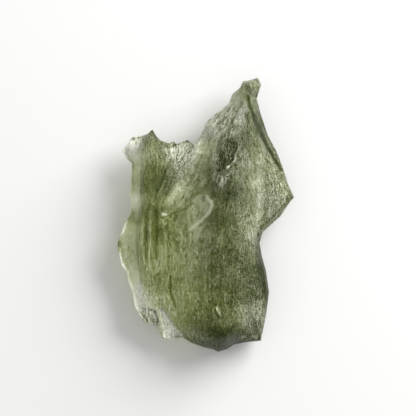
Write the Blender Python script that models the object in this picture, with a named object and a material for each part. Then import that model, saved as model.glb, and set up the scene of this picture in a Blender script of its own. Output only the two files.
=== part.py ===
"""Moldavite: one loose shard of natural green glass, lying on a small flat spot of its underside.

Millimetres are turned to metres where the mesh is written. +Z is up, and +Y runs along the stone to its
beak. The origin is on the resting plane, under the middle of the stone's box.

The stone is a box, cut into a grid and pressed to shape: its plan follows the broken outline, its
underside and its thickness are bending surfaces through spot heights, and bevels, scoops, chips, ledges
and grooves are then cut into its upper side.
"""

import bmesh
import bpy
import numpy as np

MM = 0.001

# Driving dimensions, in millimetres
LENGTH = 32.0
WIDTH = 20.6
CELLS_ACROSS = 36
CELLS_ALONG = 52
CELLS_UP = 3

# How far the upper and the lower rim stand in from the outline, as a share of the glass left there
TOP_INSET = 0.12
BOTTOM_INSET = 0.32

# How many points of each stretch hold the glass surface at the rim
RIM_SPOTS = 14

# The resting spot: the underside is cut flat where its surface would dip below the resting plane
REST_LEVEL = 0.0

# The stone's glass, as it looks from a step away
GLASS_COLOUR = (0.137, 0.168, 0.072, 1.0)
GLASS_ROUGHNESS = 0.3
GLASS_IOR = 1.49
GLASS_TRANSMISSION = 0.85

# The broken outline in four stretches, clockwise seen from above: x, y and the glass left at the edge
TOP_EDGE = (
    (-9.8, 7.6, 0.5),
    (-9.0, 8.5, 0.6),
    (-8.6, 9.1, 0.7),
    (-7.3, 9.3, 0.8),
    (-6.8, 9.5, 0.8),
    (-6.3, 10.0, 0.7),
    (-5.8, 9.2, 0.8),
    (-5.3, 8.7, 0.8),
    (-4.4, 8.4, 0.7),
    (-3.8, 8.6, 0.5),
    (-3.5, 8.3, 0.5),
    (-2.2, 8.8, 0.5),
    (-1.7, 8.4, 0.5),
    (-1.2, 8.35, 0.5),
    (-0.7, 9.2, 0.6),
    (-0.3, 10.1, 0.6),
    (-0.1, 10.8, 0.6),
    (1.1, 11.8, 0.7),
    (2.6, 13.0, 0.8),
    (3.1, 14.2, 0.8),
    (3.9, 14.8, 1.0),
    (4.3, 15.6, 1.3),
    (4.9, 15.65, 1.4),
    (6.0, 16.0, 1.5),
)
RIGHT_EDGE = (
    (6.0, 16.0, 1.5),
    (6.4, 15.2, 1.5),
    (5.9, 13.6, 1.3),
    (6.3, 12.0, 1.1),
    (7.2, 9.3, 1.0),
    (8.2, 7.5, 0.9),
    (8.9, 5.7, 0.8),
    (9.6, 3.5, 0.8),
    (10.25, 2.1, 0.8),
    (9.6, 1.3, 1.0),
    (8.7, -0.1, 1.2),
    (7.8, -0.9, 1.4),
    (6.6, -2.0, 1.8),
    (6.25, -3.2, 2.3),
    (6.5, -4.7, 2.6),
    (7.0, -6.5, 2.8),
    (7.35, -9.0, 2.8),
    (7.0, -11.7, 2.6),
    (6.4, -14.65, 1.6),
)
BOTTOM_EDGE = (
    (-5.1, -14.3, 0.5),
    (-4.4, -14.45, 0.5),
    (-2.7, -14.3, 0.9),
    (-1.6, -14.95, 1.8),
    (-0.3, -15.4, 2.5),
    (0.9, -15.7, 2.7),
    (1.4, -15.95, 2.6),
    (2.4, -15.65, 2.4),
    (3.3, -15.1, 2.0),
    (4.7, -14.85, 1.7),
    (6.4, -14.65, 1.6),
)
LEFT_EDGE = (
    (-5.1, -14.3, 0.5),
    (-5.5, -13.4, 0.5),
    (-6.1, -12.8, 0.5),
    (-7.2, -12.45, 0.5),
    (-7.8, -11.8, 0.5),
    (-8.4, -10.5, 0.5),
    (-8.55, -9.3, 0.5),
    (-9.15, -7.6, 0.5),
    (-9.3, -6.6, 0.5),
    (-9.9, -5.9, 0.5),
    (-10.3, -4.0, 0.6),
    (-10.35, -3.3, 0.6),
    (-9.6, -1.1, 0.7),
    (-9.0, -0.1, 0.8),
    (-8.75, 1.0, 0.9),
    (-8.9, 2.6, 1.0),
    (-8.7, 4.7, 0.9),
    (-8.7, 6.1, 0.8),
    (-9.2, 6.5, 0.6),
    (-9.8, 7.6, 0.5),
)

# Spot heights of the underside: x, y and height over the resting plane
UNDERSIDE_SPOTS = (
    (-9.6, 7.4, 3.3),
    (-6.3, 9.6, 3.0),
    (-2.5, 8.3, 2.4),
    (2.6, 12.8, 2.6),
    (5.4, 15.6, 3.2),
    (7.5, 8.8, 2.6),
    (10.0, 2.2, 2.9),
    (6.6, -2.2, 1.3),
    (7.2, -9.0, 0.9),
    (6.3, -14.4, 1.2),
    (1.4, -15.6, 0.9),
    (-5.0, -14.0, 2.6),
    (-8.3, -10.5, 3.0),
    (-10.1, -4.0, 3.2),
    (-8.7, 2.0, 2.8),
    (-6.0, 4.0, 1.2),
    (-6.0, -5.0, 1.0),
    (3.0, 7.5, 0.8),
    (-2.0, 3.5, -0.1),
    (1.5, 3.0, -0.3),
    (-2.5, -2.0, -0.4),
    (2.0, -3.0, -0.5),
    (-2.0, -7.5, -0.2),
    (3.0, -8.5, -0.2),
)

# Spot thicknesses of the glass inside the outline: x, y and thickness
GLASS_SPOTS = (
    # The ear, the left lobe and the thin left facet
    (-8.9, 7.9, 1.5),
    (-8.1, 6.9, 2.2),
    (-6.3, 8.8, 2.8),
    (-6.5, 6.7, 3.6),
    (-8.0, 4.5, 2.5),
    (-8.1, 1.5, 2.5),
    (-6.6, 3.5, 4.2),
    (-5.6, 3.5, 4.4),
    (-5.2, 5.9, 4.0),
    (-6.4, 0.8, 4.2),
    (-7.9, -1.2, 2.6),
    (-8.7, -4.4, 1.8),
    (-7.0, -4.4, 3.4),
    (-7.7, -9.6, 1.4),
    # The valley that runs down from the notch
    (-4.0, 6.2, 2.8),
    (-2.8, 7.6, 1.2),
    (-1.6, 7.9, 1.2),
    (-3.4, 4.1, 3.0),
    (-4.3, 1.6, 3.8),
    (-2.3, 3.0, 3.6),
    # The streaked middle, on the left of the main ridge
    (-5.9, -2.0, 4.4),
    (-4.2, -2.4, 4.4),
    (-2.4, -1.2, 4.4),
    (-1.3, -3.5, 4.6),
    (-3.6, -5.9, 4.4),
    (-1.2, -6.5, 4.8),
    (-5.9, -7.6, 3.4),
    (-3.0, -8.8, 4.2),
    (-2.4, -11.6, 4.0),
    # The main ridge, from the hollow down to the blunt lower end
    (-0.8, 5.3, 4.0),
    (0.4, 3.5, 5.4),
    (0.4, 8.2, 3.8),
    (2.3, 6.7, 5.4),
    (2.7, 2.9, 6.6),
    (1.4, 0.0, 6.9),
    (1.2, -3.0, 6.6),
    (2.3, -6.5, 6.4),
    (-0.1, -10.0, 5.4),
    (2.0, -11.2, 5.6),
    (2.6, -14.3, 5.2),
    (-0.1, -14.3, 4.8),
    # The arm and the beak
    (1.1, 10.9, 1.6),
    (2.6, 10.6, 3.0),
    (3.8, 11.6, 2.8),
    (4.0, 13.3, 2.4),
    (5.3, 12.2, 3.6),
    (5.2, 14.9, 3.4),
    # The wing on the right
    (5.4, 10.4, 4.2),
    (4.6, 7.6, 4.4),
    (6.6, 8.2, 3.0),
    (6.1, 4.7, 2.8),
    (4.4, 3.7, 4.6),
    (7.4, 5.2, 2.4),
    (8.2, 3.0, 2.2),
    (9.4, 2.2, 1.6),
    (6.6, 0.0, 2.8),
    (7.8, 0.6, 2.2),
    # The right flank
    (4.2, 0.0, 5.2),
    (4.2, -3.0, 5.6),
    (5.6, -2.9, 4.6),
    (6.0, -5.3, 4.6),
    (4.2, -6.5, 5.6),
    (6.0, -8.8, 4.4),
    (4.6, -10.2, 4.8),
    (4.6, -12.2, 4.6),
    (6.3, -12.1, 4.0),
)

# Bevels cut along the edge: x, y and width of the bevel there, then how far it falls
FLANK_BEVEL = ((6.25, -1.75, 0.9), (6.6, -3.9, 1.0), (7.15, -7.05, 1.0), (7.3, -9.4, 0.8))
FOOT_BEVEL = ((-2.35, -14.45, 0.6), (-1.15, -14.95, 0.8), (1.3, -16.0, 0.9), (2.4, -15.5, 0.9), (3.8, -14.95, 0.6))
BEVELS = (
    (FLANK_BEVEL, 0.6),
    (FOOT_BEVEL, 0.3),
)

# Scoops: centre, half axes, turn of the long axis from +X in degrees, and depth
BUBBLE = ((-0.75, 0.35), (2.05, 1.25), 72.0, 1.1)
SMALL_BUBBLE = ((-4.9, 0.1), (0.9, 0.6), 15.0, 0.4)
HOLLOW = ((2.55, 7.3), (2.1, 1.0), 62.0, 1.3)
SCOOPS = (BUBBLE, SMALL_BUBBLE, HOLLOW)

# Chips with straight sides: their corners, how deep they are, and how wide the step at their border is
LEFT_FACET = (
    (-7.25, 10.0),
    (-10.55, 9.55),
    (-10.55, 4.7),
    (-9.5, 1.2),
    (-11.5, -2.35),
    (-11.5, -5.55),
    (-9.85, -8.8),
    (-8.55, -11.4),
    (-6.9, -11.05),
    (-7.4, -6.8),
    (-7.75, -4.1),
    (-7.6, -0.25),
    (-7.25, 3.3),
    (-7.25, 6.7),
)
PALE_CHIP = (
    (-5.95, -10.95),
    (-5.05, -11.0),
    (-3.5, -13.05),
    (-2.45, -14.1),
    (-3.05, -14.95),
    (-5.95, -15.9),
    (-6.9, -14.1),
)
RIGHT_FACET = (
    (5.3, 13.75),
    (5.9, 12.0),
    (6.35, 10.25),
    (7.55, 8.0),
    (9.1, 4.8),
    (10.6, 5.05),
    (8.15, 11.15),
    (6.15, 14.1),
)
LOWER_RIGHT_PATCH = ((3.4, -9.75), (4.95, -10.6), (5.95, -13.65), (3.1, -13.75))
HOLLOW_CORNER = ((1.2, 4.7), (2.85, 4.45), (2.75, 3.3), (1.3, 3.3))
CHIPS = (
    (LEFT_FACET, 0.5, 0.4),
    (PALE_CHIP, 0.6, 0.5),
    (RIGHT_FACET, 0.35, 0.5),
    (LOWER_RIGHT_PATCH, 0.4, 0.5),
    (HOLLOW_CORNER, 0.4, 0.5),
)

# Ledges: the glass on the left of each path, as it is walked, lies lower by the fall, and rises again over the reach
HOLLOW_LEDGE = ((2.45, 5.55), (3.2, 6.1), (3.65, 7.65), (4.2, 8.8))
BUBBLE_LEDGE = ((-1.7, -1.75), (0.5, 0.3))
LEDGES = (
    (HOLLOW_LEDGE, 0.8, 0.9),
    (BUBBLE_LEDGE, -0.3, 1.2),
)

# Grooves and folds: path, half width, and depth, which is negative for a raised fold
OUTER_GROOVE = ((-7.05, 0.25), (-7.15, -4.1), (-6.95, -7.4))
INNER_GROOVE = ((-6.05, 1.05), (-5.9, -2.0), (-5.9, -5.05))
MIDDLE_GROOVE = ((-4.15, -7.4), (-4.1, -8.95), (-3.6, -10.7))
VALLEY_LINE = ((-4.05, 0.25), (-2.7, 0.6), (-1.5, 1.55))
VALLEY_FOLD = ((-0.9, 8.45), (-2.2, 5.3), (-3.4, 2.95), (-4.7, 0.95))
WING_FOLD = ((6.15, 6.7), (6.25, 2.95), (6.0, -1.3))
ARM_GROOVE = ((4.15, 13.05), (3.3, 11.4), (2.6, 9.55))
GROOVES = (
    (OUTER_GROOVE, 0.5, 0.15),
    (INNER_GROOVE, 0.5, 0.2),
    (MIDDLE_GROOVE, 0.5, 0.2),
    (VALLEY_LINE, 0.5, 0.15),
    (VALLEY_FOLD, 0.7, -0.3),
    (WING_FOLD, 0.6, -0.15),
    (ARM_GROOVE, 0.5, 0.15),
)

# Long flow ribs, which run down the stone, and the etched lumps of its right side
FLOW_SPACING = 1.9
FLOW_HEIGHT = 0.06
LUMP_SPACING = 2.3
LUMP_HEIGHT = 0.10


def remove_all_objects():
    """Clear the scene."""
    for obj in list(bpy.data.objects):
        bpy.data.objects.remove(obj, do_unlink=True)


def fit_to_size(edges):
    """Scale and centre the four stretches so that their common box is WIDTH by LENGTH."""
    edges = [np.array(edge, float) for edge in edges]
    plan = np.concatenate(edges)[:, :2]
    low = plan.min(axis=0)
    high = plan.max(axis=0)
    scale = np.array([WIDTH, LENGTH]) / (high - low)
    for edge in edges:
        edge[:, :2] = (edge[:, :2] - (low + high) / 2) * scale
    return edges


def along(edge, share):
    """Points of a stretch at the given shares of its length: x, y and the glass left there."""
    steps = np.hypot(*np.diff(edge[:, :2], axis=0).T)
    run = np.concatenate([[0.0], np.cumsum(steps)]) / steps.sum()
    return np.stack([np.interp(share, run, column) for column in edge.T], axis=-1)


def inset(points, share):
    """Move edge points towards the middle of the stone by a share of the glass left at them."""
    moved = points.copy()
    reach = np.linalg.norm(points[..., :2], axis=-1, keepdims=True)
    moved[..., :2] -= share * points[..., 2:3] * points[..., :2] / reach
    return moved


def patch(edges, u, v, share):
    """A Coons patch: the plan position and edge glass at u, v, spanned by the four inset stretches."""
    top, right, bottom, left = (lambda t, e=edge: inset(along(e, t), share) for edge in edges)
    u_ = u[:, None]
    v_ = v[:, None]
    ruled_up = (1 - v_) * bottom(u) + v_ * top(u)
    ruled_across = (1 - u_) * left(v) + u_ * right(1 - v)
    zero = np.zeros(1)
    one = np.ones(1)
    corners = (
        (1 - u_) * (1 - v_) * bottom(zero)
        + u_ * (1 - v_) * bottom(one)
        + (1 - u_) * v_ * top(zero)
        + u_ * v_ * top(one)
    )
    return ruled_up + ruled_across - corners


def bending_surface(spots):
    """The surface of least bending through spots of x, y and height, as a function of x and y."""
    spots = np.array(spots, float)
    places = spots[:, :2]
    count = len(spots)

    def kernel(x, y):
        squared = (x[:, None] - places[:, 0]) ** 2 + (y[:, None] - places[:, 1]) ** 2
        return 0.5 * squared * np.log(squared + 1e-9)

    sides = np.column_stack([np.ones(count), places])
    system = np.zeros((count + 3, count + 3))
    system[:count, :count] = kernel(places[:, 0], places[:, 1])
    system[:count, count:] = sides
    system[count:, :count] = sides.T
    weights = np.linalg.solve(system, np.append(spots[:, 2], [0.0, 0.0, 0.0]))

    def height(x, y):
        plane = weights[count] + weights[count + 1] * x + weights[count + 2] * y
        return kernel(x, y) @ weights[:count] + plane

    return height


def to_path(x, y, path):
    """Distance to a path, the side of it (positive on the left) and the place along it, from 0 to its points' count."""
    path = np.array(path, float)
    nearest = np.full(x.shape, np.inf)
    side = np.zeros(x.shape)
    place = np.zeros(x.shape)
    for index, (start, end) in enumerate(zip(path[:-1, :2], path[1:, :2])):
        run = end - start
        share = ((x - start[0]) * run[0] + (y - start[1]) * run[1]) / (run @ run)
        share = np.clip(share, 0.0, 1.0)
        off_x = x - start[0] - share * run[0]
        off_y = y - start[1] - share * run[1]
        distance = np.hypot(off_x, off_y)
        closer = distance < nearest
        nearest = np.where(closer, distance, nearest)
        side = np.where(closer, np.sign(run[0] * off_y - run[1] * off_x), side)
        place = np.where(closer, index + share, place)
    return nearest, side, place


def bevel(x, y, path, fall):
    """Depth of a flat bevel that falls towards a path, as wide as the path's third number."""
    distance, _, place = to_path(x, y, path)
    width = np.interp(place, np.arange(len(path)), [point[2] for point in path])
    return fall * np.clip(1 - distance / width, 0.0, 1.0)


def scoop(x, y, centre, half_axes, turn, depth):
    """Depth of an oval bowl with a clear rim."""
    angle = np.radians(turn)
    along_axis = (x - centre[0]) * np.cos(angle) + (y - centre[1]) * np.sin(angle)
    across_axis = (y - centre[1]) * np.cos(angle) - (x - centre[0]) * np.sin(angle)
    squared = (along_axis / half_axes[0]) ** 2 + (across_axis / half_axes[1]) ** 2
    return depth * np.clip(1 - squared, 0.0, 1.0)


def chip(x, y, corners, depth, step):
    """Depth of a chip with straight sides; a point is inside where a ray from it crosses an odd number of them."""
    inside = np.zeros(x.shape, bool)
    points = np.array(corners, float)
    for start, end in zip(points, np.roll(points, -1, axis=0)):
        if start[1] != end[1]:
            crossing = start[0] + (y - start[1]) * (end[0] - start[0]) / (end[1] - start[1])
            inside ^= ((start[1] > y) != (end[1] > y)) & (x < crossing)
    distance, _, _ = to_path(x, y, (*corners, corners[0]))
    return np.where(inside, depth * np.clip(distance / step, 0.0, 1.0), 0.0)


def ledge(x, y, path, fall, reach):
    """Depth below a ledge. A negative fall puts the low side on the right of the path."""
    distance, side, place = to_path(x, y, path)
    inside = np.clip(4 * np.minimum(place, len(path) - 1 - place), 0.0, 1.0)
    low_side = side * np.sign(fall) > 0
    return np.where(low_side, abs(fall) * inside * np.clip(1 - distance / reach, 0.0, 1.0), 0.0)


def groove(x, y, path, half_width, depth):
    """Depth of a groove with a rounded section."""
    distance, _, _ = to_path(x, y, path)
    return depth * np.exp(-((distance / half_width) ** 2))


def upper_cuts(x, y):
    """Everything that is cut from the upper side, as a depth."""
    cut = np.zeros(x.shape)
    for path, fall in BEVELS:
        cut = cut + bevel(x, y, path, fall)
    for bowl in SCOOPS:
        cut = cut + scoop(x, y, *bowl)
    for corners, depth, step in CHIPS:
        cut = cut + chip(x, y, corners, depth, step)
    for path, fall, reach in LEDGES:
        cut = cut + ledge(x, y, path, fall, reach)
    for path, half_width, depth in GROOVES:
        cut = cut + groove(x, y, path, half_width, depth)
    return cut


def ribs_and_lumps(x, y):
    """Low relief of the upper side: flow ribs on the left and below, etched lumps on the right."""
    on_right = 1 / (1 + np.exp(-(x - 2.5)))
    bend = x + 0.5 * np.sin(y / 4.0)
    ribs = np.sin(2 * np.pi * bend / FLOW_SPACING) * (1 - on_right)
    lumps = np.sin(2 * np.pi * (x + 0.3 * y) / LUMP_SPACING) * np.cos(2 * np.pi * (y - 0.4 * x) / LUMP_SPACING)
    return FLOW_HEIGHT * ribs + LUMP_HEIGHT * lumps * on_right


def make_blank():
    """A box from -1 to 1, cut into a grid of cells."""
    blank = bmesh.new()
    bmesh.ops.create_cube(blank, size=2.0)
    for axis, cells in enumerate((CELLS_ACROSS, CELLS_ALONG, CELLS_UP)):
        lengthwise = [
            edge
            for edge in blank.edges
            if abs(edge.verts[0].co[axis] - edge.verts[1].co[axis]) > 1.0
        ]
        bmesh.ops.subdivide_edges(blank, edges=lengthwise, cuts=cells - 1, use_grid_fill=True)
    return blank


def press_to_shape(box):
    """The stone's points, in millimetres, for points of the box."""
    edges = fit_to_size((TOP_EDGE, RIGHT_EDGE, BOTTOM_EDGE, LEFT_EDGE))
    u = (box[:, 0] + 1) / 2
    v = (box[:, 1] + 1) / 2
    up = (box[:, 2] + 1) / 2
    rim = np.concatenate([along(edge, np.linspace(0, 1, RIM_SPOTS)) for edge in edges])
    rim = np.unique(np.round(rim, 3), axis=0)
    underside = bending_surface(UNDERSIDE_SPOTS)
    glass = bending_surface(np.concatenate([np.array(GLASS_SPOTS), rim]))
    upper_plan = patch(edges, u, v, TOP_INSET)
    lower_plan = patch(edges, u, v, BOTTOM_INSET)
    outer_plan = patch(edges, u, v, 0.0)

    x, y = lower_plan[:, 0], lower_plan[:, 1]
    low = np.maximum(underside(x, y), REST_LEVEL)
    x, y, edge_glass = upper_plan.T
    thickness = glass(x, y) - upper_cuts(x, y) + ribs_and_lumps(x, y)
    on_wall = np.maximum(np.abs(box[:, 0]), np.abs(box[:, 1])) > 0.999
    thickness = np.where(on_wall, edge_glass, np.maximum(thickness, 0.4))
    high = np.maximum(underside(x, y), REST_LEVEL) + thickness

    shaped = np.empty_like(box)
    shaped[:, :2] = lower_plan[:, :2] * (1 - up)[:, None] + upper_plan[:, :2] * up[:, None]
    between = (up > 0.01) & (up < 0.99)
    shaped[between, :2] = outer_plan[between, :2]
    shaped[:, 2] = low * (1 - up) + high * up
    return shaped


def make_glass():
    """Green natural glass, lightly frosted by etching."""
    material = bpy.data.materials.new("moldavite_glass")
    material.use_nodes = True
    shader = material.node_tree.nodes["Principled BSDF"]
    shader.inputs["Base Color"].default_value = GLASS_COLOUR
    shader.inputs["Roughness"].default_value = GLASS_ROUGHNESS
    shader.inputs["Metallic"].default_value = 0.0
    shader.inputs["IOR"].default_value = GLASS_IOR
    shader.inputs["Transmission Weight"].default_value = GLASS_TRANSMISSION
    return material


def make_stone():
    """The whole stone, one closed solid."""
    blank = make_blank()
    box = np.array([vertex.co for vertex in blank.verts])
    for vertex, place in zip(blank.verts, press_to_shape(box) * MM):
        vertex.co = place
    bmesh.ops.triangulate(blank, faces=blank.faces)
    mesh = bpy.data.meshes.new("moldavite")
    blank.to_mesh(mesh)
    blank.free()
    mesh.materials.append(make_glass())
    stone = bpy.data.objects.new("moldavite", mesh)
    collection = bpy.data.collections.new("moldavite")
    bpy.context.scene.collection.children.link(collection)
    collection.objects.link(stone)
    return stone


remove_all_objects()
make_stone()
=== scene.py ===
"""Moldavite, dressed: one etched shard of green natural glass on a white table in soft light.

The stone is one closed surface, worked out in millimetres and written in metres. Its plan is a patch
spanned by the broken outline, and its underside and its glass are bending surfaces through spot
heights. Chips, bowls, a ledge and streaks are cut into the upper face, and flow lines and etch pits
into both faces.
"""

import logging
import math
from dataclasses import dataclass, field
from enum import IntEnum

import bpy
import numpy as np
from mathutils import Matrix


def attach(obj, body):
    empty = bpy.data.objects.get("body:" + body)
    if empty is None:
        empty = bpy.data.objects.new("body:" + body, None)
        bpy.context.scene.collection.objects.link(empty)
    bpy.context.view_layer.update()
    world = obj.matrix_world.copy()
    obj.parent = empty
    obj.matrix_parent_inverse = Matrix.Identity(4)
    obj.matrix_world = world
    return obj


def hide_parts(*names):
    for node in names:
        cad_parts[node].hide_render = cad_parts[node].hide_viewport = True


logging.basicConfig(level=logging.INFO, format="%(message)s")
LOG = logging.getLogger("moldavite")

MM = 0.001

# Noise: how many points its table has each way, how far each finer layer is moved, and its middle value
NOISE_CELLS = 128
LAYER_SHIFT = (7.3, -3.1)
NOISE_MIDDLE = 0.5

# Radii of etch pits, as shares of their spacing: the smallest, and what the largest adds to it
SMALLEST_PIT = 0.3
PIT_SPREAD = 0.55

# Added to a squared distance, so that the logarithm of none stays finite
LEAST_SQUARE = 1e-9

# Strokes along the flow are drawn at five leanings from upright, this many radians apart
LEAN_STEP = 0.28
LEANINGS = tuple(LEAN_STEP * number for number in (-2, -1, 0, 1, 2))
SEED_STEP = 10

# The sockets of a Map Range node, in the order in which ranges are given to it
RANGE = ("From Min", "From Max", "To Min", "To Max")

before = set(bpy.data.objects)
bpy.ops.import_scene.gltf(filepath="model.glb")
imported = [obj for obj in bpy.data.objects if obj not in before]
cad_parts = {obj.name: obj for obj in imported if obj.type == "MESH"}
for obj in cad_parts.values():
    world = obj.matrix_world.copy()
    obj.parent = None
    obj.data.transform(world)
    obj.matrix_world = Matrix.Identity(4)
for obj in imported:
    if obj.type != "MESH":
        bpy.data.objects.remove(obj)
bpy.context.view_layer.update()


class Seed(IntEnum):
    """Which random noise each pattern draws."""

    WAVER = 11
    STREAKS = 31
    LINES = 35
    DASHES = 41
    PATCHES = 45
    PITS = 51
    LUMPS = 61
    MOTTLE = 65
    GRAINS = 67
    LOWER_WAVER = 71
    RIBS = 81
    LOWER_PITS = 91


def to_linear(hex_colour: str) -> tuple[float, float, float, float]:
    """Turn an sRGB hex colour into linear light, with full alpha.

    Args:
        hex_colour: A colour such as "#A0AA59".

    Returns:
        Red, green, blue and alpha, each from 0 to 1.
    """
    channels = [int(hex_colour[i : i + 2], 16) / 255 for i in (1, 3, 5)]
    linear = [c / 12.92 if c <= 0.04045 else ((c + 0.055) / 1.055) ** 2.4 for c in channels]
    return (*linear, 1.0)


def add_node(
    tree: bpy.types.NodeTree,
    kind: str,
    settings: dict | None = None,
    links: dict | None = None,
    **options,
) -> bpy.types.Node:
    """Add a node, set its sockets and options and link its inputs.

    Args:
        tree: The node tree.
        kind: The node's type name, such as "ShaderNodeMath".
        settings: Input values by socket name or number.
        links: Output sockets by the input socket's name or number.
        options: The node's own properties.

    Returns:
        The new node.
    """
    node = tree.nodes.new(kind)
    for name, value in options.items():
        setattr(node, name, value)
    for socket, value in (settings or {}).items():
        node.inputs[socket].default_value = value
    for socket, output in (links or {}).items():
        tree.links.new(output, node.inputs[socket])
    return node


# Patterns on a plane


def lattice_noise(x: np.ndarray, y: np.ndarray, seed: int) -> np.ndarray:
    """Smooth noise: each whole-number point has a random slope, and a fade blends the four nearest.

    The fade is six t to the fifth, less fifteen t to the fourth, plus ten t cubed.

    Args:
        x: First coordinates, one unit a lump.
        y: Second coordinates.
        seed: Which noise.

    Returns:
        Values mostly between -0.7 and 0.7.
    """
    turns = np.random.default_rng(seed).uniform(0, 2 * np.pi, (NOISE_CELLS, NOISE_CELLS))
    column = np.floor(x).astype(int)
    row = np.floor(y).astype(int)
    along = x - column
    up = y - row
    fade_x = along**3 * (along * (along * 6 - 15) + 10)
    fade_y = up**3 * (up * (up * 6 - 15) + 10)
    total = np.zeros(np.broadcast(x, y).shape)
    for step_x in (0, 1):
        for step_y in (0, 1):
            turn = turns[(row + step_y) % NOISE_CELLS, (column + step_x) % NOISE_CELLS]
            slope = (along - step_x) * np.cos(turn) + (up - step_y) * np.sin(turn)
            weight_x = fade_x if step_x else 1 - fade_x
            weight_y = fade_y if step_y else 1 - fade_y
            total += slope * weight_x * weight_y
    return total


def layered_noise(x: np.ndarray, y: np.ndarray, seed: int, layers: int = 3) -> np.ndarray:
    """Noise in layers, each twice as fine and half as strong as the one before.

    Args:
        x: First coordinates, one unit a lump of the first layer.
        y: Second coordinates.
        seed: Which noise.
        layers: How many layers.

    Returns:
        Values mostly between -1 and 1.
    """
    total = np.zeros(np.broadcast(x, y).shape)
    for layer in range(layers):
        scale = 2.0**layer
        layer_x = x * scale + LAYER_SHIFT[0] * layer
        layer_y = y * scale + LAYER_SHIFT[1] * layer
        total += lattice_noise(layer_x, layer_y, seed + layer) / scale
    return total


def cupules(x: np.ndarray, y: np.ndarray, spacing: float, seed: int) -> np.ndarray:
    """Round etch pits: one in each cell, off centre, a bowl whose depth falls with distance squared.

    Args:
        x: First coordinates.
        y: Second coordinates.
        spacing: Mean distance between pits.
        seed: Which scatter.

    Returns:
        Depth as a share of the deepest pit, from 0 to 1.
    """
    draw = np.random.default_rng(seed)
    off_x, off_y, size = draw.uniform(0, 1, (3, NOISE_CELLS, NOISE_CELLS))
    column = np.floor(x / spacing).astype(int)
    row = np.floor(y / spacing).astype(int)
    largest = spacing * (SMALLEST_PIT + PIT_SPREAD)
    depth = np.zeros(np.broadcast(x, y).shape)
    for step_x in (-1, 0, 1):
        for step_y in (-1, 0, 1):
            at = (row + step_y) % NOISE_CELLS, (column + step_x) % NOISE_CELLS
            centre_x = (column + step_x + off_x[at]) * spacing
            centre_y = (row + step_y + off_y[at]) * spacing
            radius = spacing * (SMALLEST_PIT + PIT_SPREAD * size[at] ** 2)
            squared = ((x - centre_x) ** 2 + (y - centre_y) ** 2) / radius**2
            depth = np.maximum(depth, np.clip(1 - squared, 0, 1) * radius / largest)
    return depth


def smooth_step(value: np.ndarray, low: float, high: float) -> np.ndarray:
    """Rise from 0 at low to 1 at high with level ends, as three t squared less two t cubed."""
    t = np.clip((value - low) / (high - low), 0, 1)
    return t * t * (3 - 2 * t)


def above_table(height: np.ndarray, soft: float = 0.35) -> np.ndarray:
    """Lift what is below the table: within soft of it, height plus soft, squared, over four times soft."""
    return np.where(np.abs(height) < soft, (height + soft) ** 2 / (4 * soft), np.maximum(height, 0.0))


def blurred(values: np.ndarray, reach: int) -> np.ndarray:
    """Mean of the values in a square of cells around each one.

    Args:
        values: A grid of numbers.
        reach: How many cells the square goes out from its middle.

    Returns:
        The means, in the same grid.
    """
    rows, columns = values.shape
    padded = np.pad(values, reach, mode="edge")
    total = np.zeros_like(values)
    for row in range(2 * reach + 1):
        for column in range(2 * reach + 1):
            total += padded[row : row + rows, column : column + columns]
    return total / (2 * reach + 1) ** 2


def to_path(x: np.ndarray, y: np.ndarray, path: tuple) -> tuple[np.ndarray, np.ndarray, np.ndarray]:
    """Measure points against a broken line.

    Args:
        x: First coordinates.
        y: Second coordinates.
        path: The line's points; only their first two numbers are read.

    Returns:
        Distance, side (1 on the left, -1 on the right) and place along it, counted in points.
    """
    points = np.array([point[:2] for point in path], float)
    nearest = np.full(x.shape, np.inf)
    side = np.zeros(x.shape)
    place = np.zeros(x.shape)
    for index, (start, end) in enumerate(zip(points[:-1], points[1:])):
        run = end - start
        share = np.clip(((x - start[0]) * run[0] + (y - start[1]) * run[1]) / (run @ run), 0, 1)
        off_x = x - start[0] - share * run[0]
        off_y = y - start[1] - share * run[1]
        distance = np.hypot(off_x, off_y)
        closer = distance < nearest
        nearest = np.where(closer, distance, nearest)
        side = np.where(closer, np.sign(run[0] * off_y - run[1] * off_x), side)
        place = np.where(closer, index + share, place)
    return nearest, side, place


def quads(*corners: np.ndarray) -> np.ndarray:
    """Turn four grids of point numbers, one for each corner, into a row of four for each face."""
    return np.stack([corner.ravel() for corner in corners], axis=-1)


# What is cut into the upper face


@dataclass(frozen=True)
class Mark:
    """One cut: its mask is 1 where it is whole and 0 outside it.

    The depth is in millimetres, and negative for what stands proud. Pale is added to the tone, and etch
    to how etched the glass is. A mark with no depth only changes the look.
    """

    depth_mm: float = 0.0
    pale: float = 0.0
    etch: float = field(default=0.0, kw_only=True)

    def mask(self, x: np.ndarray, y: np.ndarray) -> np.ndarray:
        """Where the cut is, from 0 to 1."""
        raise NotImplementedError

    def cut(self, x: np.ndarray, y: np.ndarray) -> tuple[np.ndarray, np.ndarray, np.ndarray]:
        """Work out the cut at every point.

        Args:
            x: First coordinates in millimetres.
            y: Second coordinates.

        Returns:
            Its depth, and what it adds to the tone and to the etching.
        """
        mask = self.mask(x, y)
        return self.depth_mm * mask, self.pale * mask, self.etch * mask


@dataclass(frozen=True)
class Line(Mark):
    """A cut along a path, whose points may have a third number: how wide the cut is there."""

    path: tuple = ()

    def measure(self, x: np.ndarray, y: np.ndarray) -> tuple[np.ndarray, np.ndarray]:
        """Find how far points are from the path, and how wide the cut is at the nearest place.

        Args:
            x: First coordinates in millimetres.
            y: Second coordinates.

        Returns:
            The distance, and the width by straight runs between the path's points.
        """
        distance, _, place = to_path(x, y, self.path)
        width = np.interp(place, np.arange(len(self.path)), [point[2] for point in self.path])
        return distance, width


@dataclass(frozen=True)
class Bevel(Line):
    """A band beside a stretch of the edge, strongest at the edge; it is as wide as its points say."""

    def mask(self, x: np.ndarray, y: np.ndarray) -> np.ndarray:
        """One at the path, less evenly to none at the width."""
        distance, width = self.measure(x, y)
        return np.clip(1 - distance / width, 0, 1)


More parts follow.
